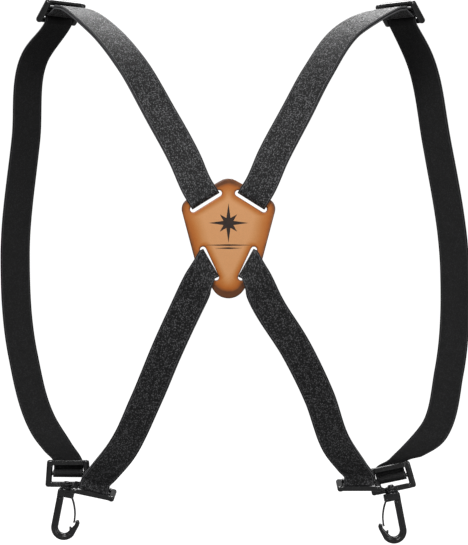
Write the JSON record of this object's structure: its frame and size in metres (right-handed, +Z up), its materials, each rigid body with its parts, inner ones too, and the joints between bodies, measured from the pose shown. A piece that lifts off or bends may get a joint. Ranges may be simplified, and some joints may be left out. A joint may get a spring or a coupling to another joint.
{
  "type": "binocular harness",
  "caption": "Leather shield yoke with elastic shoulder and side straps, sliders, hip buckles and swivel snap hooks that carry a binocular.",
  "frame": {"origin": "centre of the yoke's rear face, the one that lies on the wearer's back", "axes": "+Z up, +Y from the yoke towards the wearer, +X to the right seen from outside"},
  "size_m": [0.399, 0.1192, 0.4504],
  "materials": {
    "tan_leather": "moulded tan leather with burnished orange edges",
    "elastic_webbing": "black ribbed elastic webbing with a slight sheen",
    "black_plastic": "semi-gloss black moulded plastic",
    "gate_leaf": "black spring leaf",
    "pin_metal": "black plated steel"
  },
  "bodies": {
    "harness": {"yoke": "tan_leather", "left_upper_strap": "elastic_webbing", "right_upper_strap": "elastic_webbing", "left_outer_strap": "elastic_webbing", "right_outer_strap": "elastic_webbing", "left_lower_strap": "elastic_webbing", "right_lower_strap": "elastic_webbing", "left_outer_buckle": "black_plastic", "right_outer_buckle": "black_plastic", "left_inner_buckle": "black_plastic", "right_inner_buckle": "black_plastic", "left_swivel_post": "pin_metal", "right_swivel_post": "pin_metal"},
    "left_slider_set": {"left_slider": "black_plastic", "left_slider_run": "elastic_webbing", "left_sewn_turn": "elastic_webbing"},
    "left_hook_set": {"left_hook": "black_plastic", "left_gate_pin": "pin_metal"},
    "left_gate": {"left_gate": "gate_leaf"},
    "right_slider_set": {"right_slider": "black_plastic", "right_slider_run": "elastic_webbing", "right_sewn_turn": "elastic_webbing"},
    "right_hook_set": {"right_hook": "black_plastic", "right_gate_pin": "pin_metal"},
    "right_gate": {"right_gate": "gate_leaf"}
  },
  "joints": [
    {"name": "left_slider_travel", "type": "hinge", "parent": "harness", "child": "left_slider_set", "pos_m": [-0.1257, 0.04906, 0.16021], "axis": [0.809, 0.5878, 0], "range_deg": [-5, 5]},
    {"name": "left_hook_swivel", "type": "hinge", "parent": "harness", "child": "left_hook_set", "pos_m": [-0.1375, 0.099, -0.209], "axis": [0.1908, 0, 0.9816], "continuous": true},
    {"name": "left_gate_swing", "type": "hinge", "parent": "left_hook_set", "child": "left_gate", "pos_m": [-0.13294, 0.099, -0.21488], "axis": [0, 1, 0], "range_deg": [0, 18], "stiffness_Nm_per_rad": 0.05, "springref_deg": -5.73},
    {"name": "right_slider_travel", "type": "hinge", "parent": "harness", "child": "right_slider_set", "pos_m": [0.1287, 0.04906, 0.15921], "axis": [0.809, -0.5878, 0], "range_deg": [-5, 5]},
    {"name": "right_hook_swivel", "type": "hinge", "parent": "harness", "child": "right_hook_set", "pos_m": [0.1375, 0.099, -0.212], "axis": [-0.1908, 0, 0.9816], "continuous": true},
    {"name": "right_gate_swing", "type": "hinge", "parent": "right_hook_set", "child": "right_gate", "pos_m": [0.13294, 0.099, -0.21788], "axis": [0, -1, 0], "range_deg": [0, 18], "stiffness_Nm_per_rad": 0.05, "springref_deg": -5.73}
  ]
}
